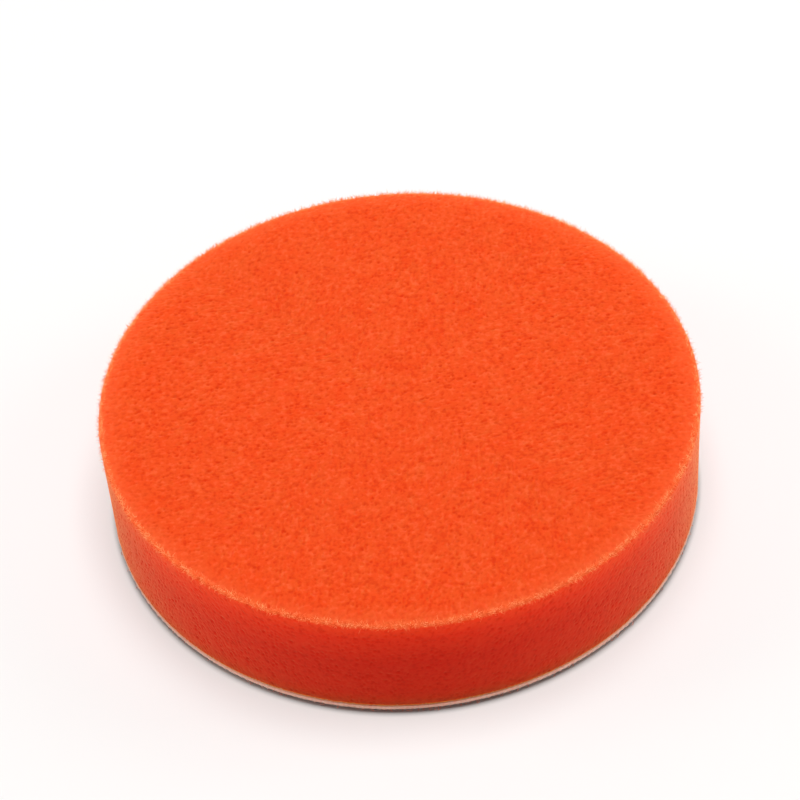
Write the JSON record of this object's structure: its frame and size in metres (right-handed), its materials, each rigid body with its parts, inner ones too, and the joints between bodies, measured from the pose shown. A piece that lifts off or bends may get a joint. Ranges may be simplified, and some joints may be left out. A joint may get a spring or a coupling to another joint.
{
  "type": "foam polishing pad",
  "caption": "Flat round foam polishing pad with a straight cut side, bonded to a loop-cloth backing that grips a hook-faced backing plate.",
  "frame": {"origin": "centre of the plane that the loop tips lie in, which the pad stands on", "axes": "+Z is the pad's axis of spin and points out of the foam work face; the pad is round, so +X and +Y are any two directions across it"},
  "size_m": [0.125, 0.125, 0.0275],
  "materials": {
    "foam": "matte",
    "film": "satin",
    "ground_cloth": "matte",
    "loops": "matte"
  },
  "bodies": {
    "root": {"foam_disc": "foam", "adhesive_film": "film", "loop_ground": "ground_cloth", "loop_pile": "loops"}
  },
  "joints": []
}
